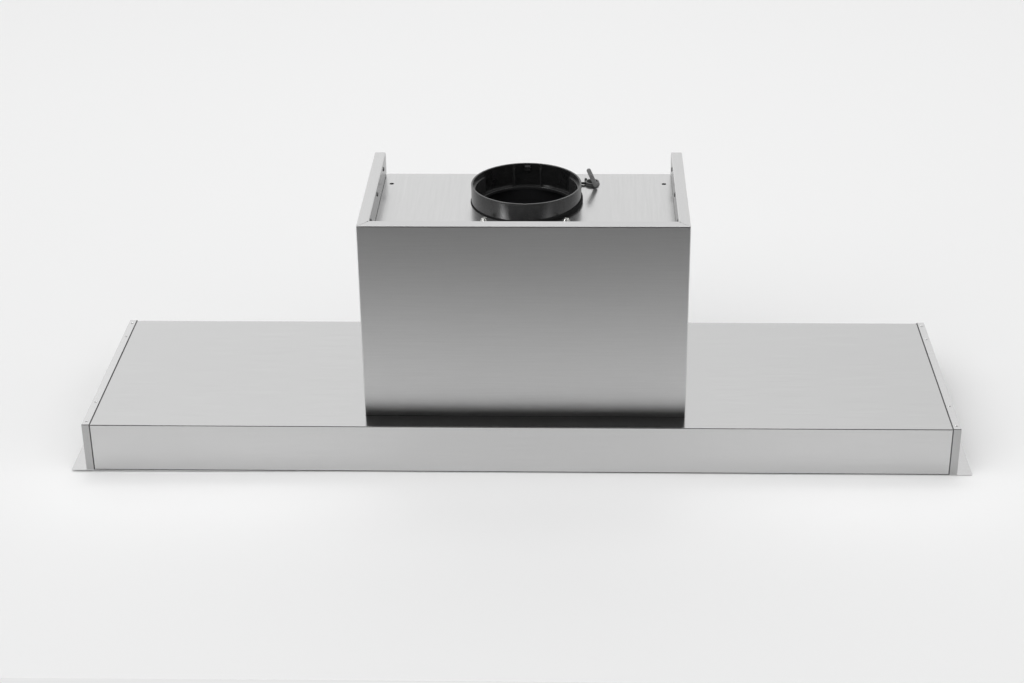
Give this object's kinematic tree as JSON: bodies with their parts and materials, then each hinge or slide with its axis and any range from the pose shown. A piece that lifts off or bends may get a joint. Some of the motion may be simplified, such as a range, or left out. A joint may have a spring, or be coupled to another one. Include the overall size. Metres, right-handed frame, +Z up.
{
  "type": "built-in range hood",
  "caption": "Built-in stainless range hood: long shallow canopy with drop-down grease filters, lamps and push buttons below, a blower tower and round duct collar on top.",
  "frame": {"origin": "on the plane under the trim flange, below the middle of the canopy's bounding box", "axes": "+X to the right along the canopy, +Y from the front edge to the back, +Z up towards the duct collar"},
  "size_m": [1.2, 0.318, 0.343],
  "materials": {
    "stainless_canopy": "brushed along the length",
    "stainless_trim": "brushed along the length",
    "stainless_panel": "brushed along the length",
    "stainless_tower": "fine brushed",
    "galvanised_steel": "galvanised, dull",
    "polished_steel": "polished",
    "rivet_steel": "satin",
    "screw_steel": "zinc plated",
    "dark_screw": "blackened",
    "filter_aluminium": "satin anodised",
    "filter_mesh_aluminium": "mill finish mesh",
    "cast_aluminium": "cast, matt",
    "frosted_glass": "frosted",
    "black_gloss_plastic": "gloss black",
    "black_plastic": "satin black moulding",
    "dark_plastic": "dark grey moulding",
    "grey_plastic": "dark grey moulding",
    "white_plastic": "off-white moulding",
    "button_steel": "satin chrome",
    "black_rubber": "soft black",
    "motor_paint": "dark enamel"
  },
  "bodies": {
    "hood": {"canopy_shell": "stainless_canopy", "end_cap_left": "stainless_canopy", "end_cap_right": "stainless_canopy", "end_cap_rivets": "rivet_steel", "trim_flange": "stainless_trim", "trim_screws": "screw_steel", "underside_panel": "stainless_panel", "filter_pivot_brackets": "galvanised_steel", "lamp_bezel_left": "polished_steel", "lamp_bezel_right": "polished_steel", "lamp_lens_left": "frosted_glass", "lamp_lens_right": "frosted_glass", "lamp_housing_left": "cast_aluminium", "lamp_housing_right": "cast_aluminium", "control_bezel": "black_gloss_plastic", "switch_module": "dark_plastic", "led_driver": "white_plastic", "tower_cover": "stainless_tower", "tower_screws": "screw_steel", "lip_screws": "dark_screw", "top_plate": "stainless_tower", "back_panel": "galvanised_steel", "duct_collar": "black_plastic", "collar_seal": "black_rubber", "collar_washers": "screw_steel", "collar_screws": "screw_steel", "cable_gland": "grey_plastic", "gland_wedge": "grey_plastic", "terminal_box": "white_plastic", "blower_housing_left": "black_plastic", "blower_housing_right": "black_plastic", "motor": "motor_paint", "motor_bracket": "galvanised_steel", "inlet_guard": "black_plastic", "capacitor": "white_plastic", "capacitor_clip": "galvanised_steel", "control_box": "dark_plastic", "control_box_lid": "dark_plastic"},
    "impeller": {"impeller": "galvanised_steel", "motor_shaft": "polished_steel"},
    "filter_1": {"filter_frame_1": "filter_aluminium", "filter_mesh_1": "filter_mesh_aluminium"},
    "filter_latch_1": {"filter_latch_1": "black_gloss_plastic"},
    "filter_2": {"filter_frame_2": "filter_aluminium", "filter_mesh_2": "filter_mesh_aluminium"},
    "filter_latch_2": {"filter_latch_2": "black_gloss_plastic"},
    "filter_3": {"filter_frame_3": "filter_aluminium", "filter_mesh_3": "filter_mesh_aluminium"},
    "filter_latch_3": {"filter_latch_3": "black_gloss_plastic"},
    "button_light": {"button_light": "button_steel"},
    "button_stop": {"button_stop": "button_steel"},
    "button_low": {"button_low": "button_steel"},
    "button_medium": {"button_medium": "button_steel"},
    "button_high": {"button_high": "button_steel"}
  },
  "joints": [
    {"name": "filter_1_hinge", "type": "hinge", "parent": "hood", "child": "filter_1", "pos_m": [-0.352, 0.1195, 0.02], "axis": [1, 0, 0], "range_deg": [0, 80]},
    {"name": "filter_1_latch", "type": "slide", "parent": "filter_1", "child": "filter_latch_1", "axis": [0, 1, 0], "range_m": [0, 0.004], "stiffness_N_per_m": 300, "springref_m": -0.003},
    {"name": "filter_2_hinge", "type": "hinge", "parent": "hood", "child": "filter_2", "pos_m": [0, 0.1195, 0.02], "axis": [1, 0, 0], "range_deg": [0, 80]},
    {"name": "filter_2_latch", "type": "slide", "parent": "filter_2", "child": "filter_latch_2", "axis": [0, 1, 0], "range_m": [0, 0.004], "stiffness_N_per_m": 300, "springref_m": -0.003},
    {"name": "filter_3_hinge", "type": "hinge", "parent": "hood", "child": "filter_3", "pos_m": [0.352, 0.1195, 0.02], "axis": [1, 0, 0], "range_deg": [0, 80]},
    {"name": "filter_3_latch", "type": "slide", "parent": "filter_3", "child": "filter_latch_3", "axis": [0, 1, 0], "range_m": [0, 0.004], "stiffness_N_per_m": 300, "springref_m": -0.003},
    {"name": "button_light_press", "type": "slide", "parent": "hood", "child": "button_light", "axis": [0, 0, 1], "range_m": [0, 0.002], "stiffness_N_per_m": 400, "springref_m": -0.002},
    {"name": "button_stop_press", "type": "slide", "parent": "hood", "child": "button_stop", "axis": [0, 0, 1], "range_m": [0, 0.002], "stiffness_N_per_m": 400, "springref_m": -0.002},
    {"name": "button_low_press", "type": "slide", "parent": "hood", "child": "button_low", "axis": [0, 0, 1], "range_m": [0, 0.002], "stiffness_N_per_m": 400, "springref_m": -0.002},
    {"name": "button_medium_press", "type": "slide", "parent": "hood", "child": "button_medium", "axis": [0, 0, 1], "range_m": [0, 0.002], "stiffness_N_per_m": 400, "springref_m": -0.002},
    {"name": "button_high_press", "type": "slide", "parent": "hood", "child": "button_high", "axis": [0, 0, 1], "range_m": [0, 0.002], "stiffness_N_per_m": 400, "springref_m": -0.002},
    {"name": "impeller_spin", "type": "hinge", "parent": "hood", "child": "impeller", "pos_m": [0.008, -0.019, 0.1865], "axis": [1, 0, 0], "continuous": true}
  ]
}
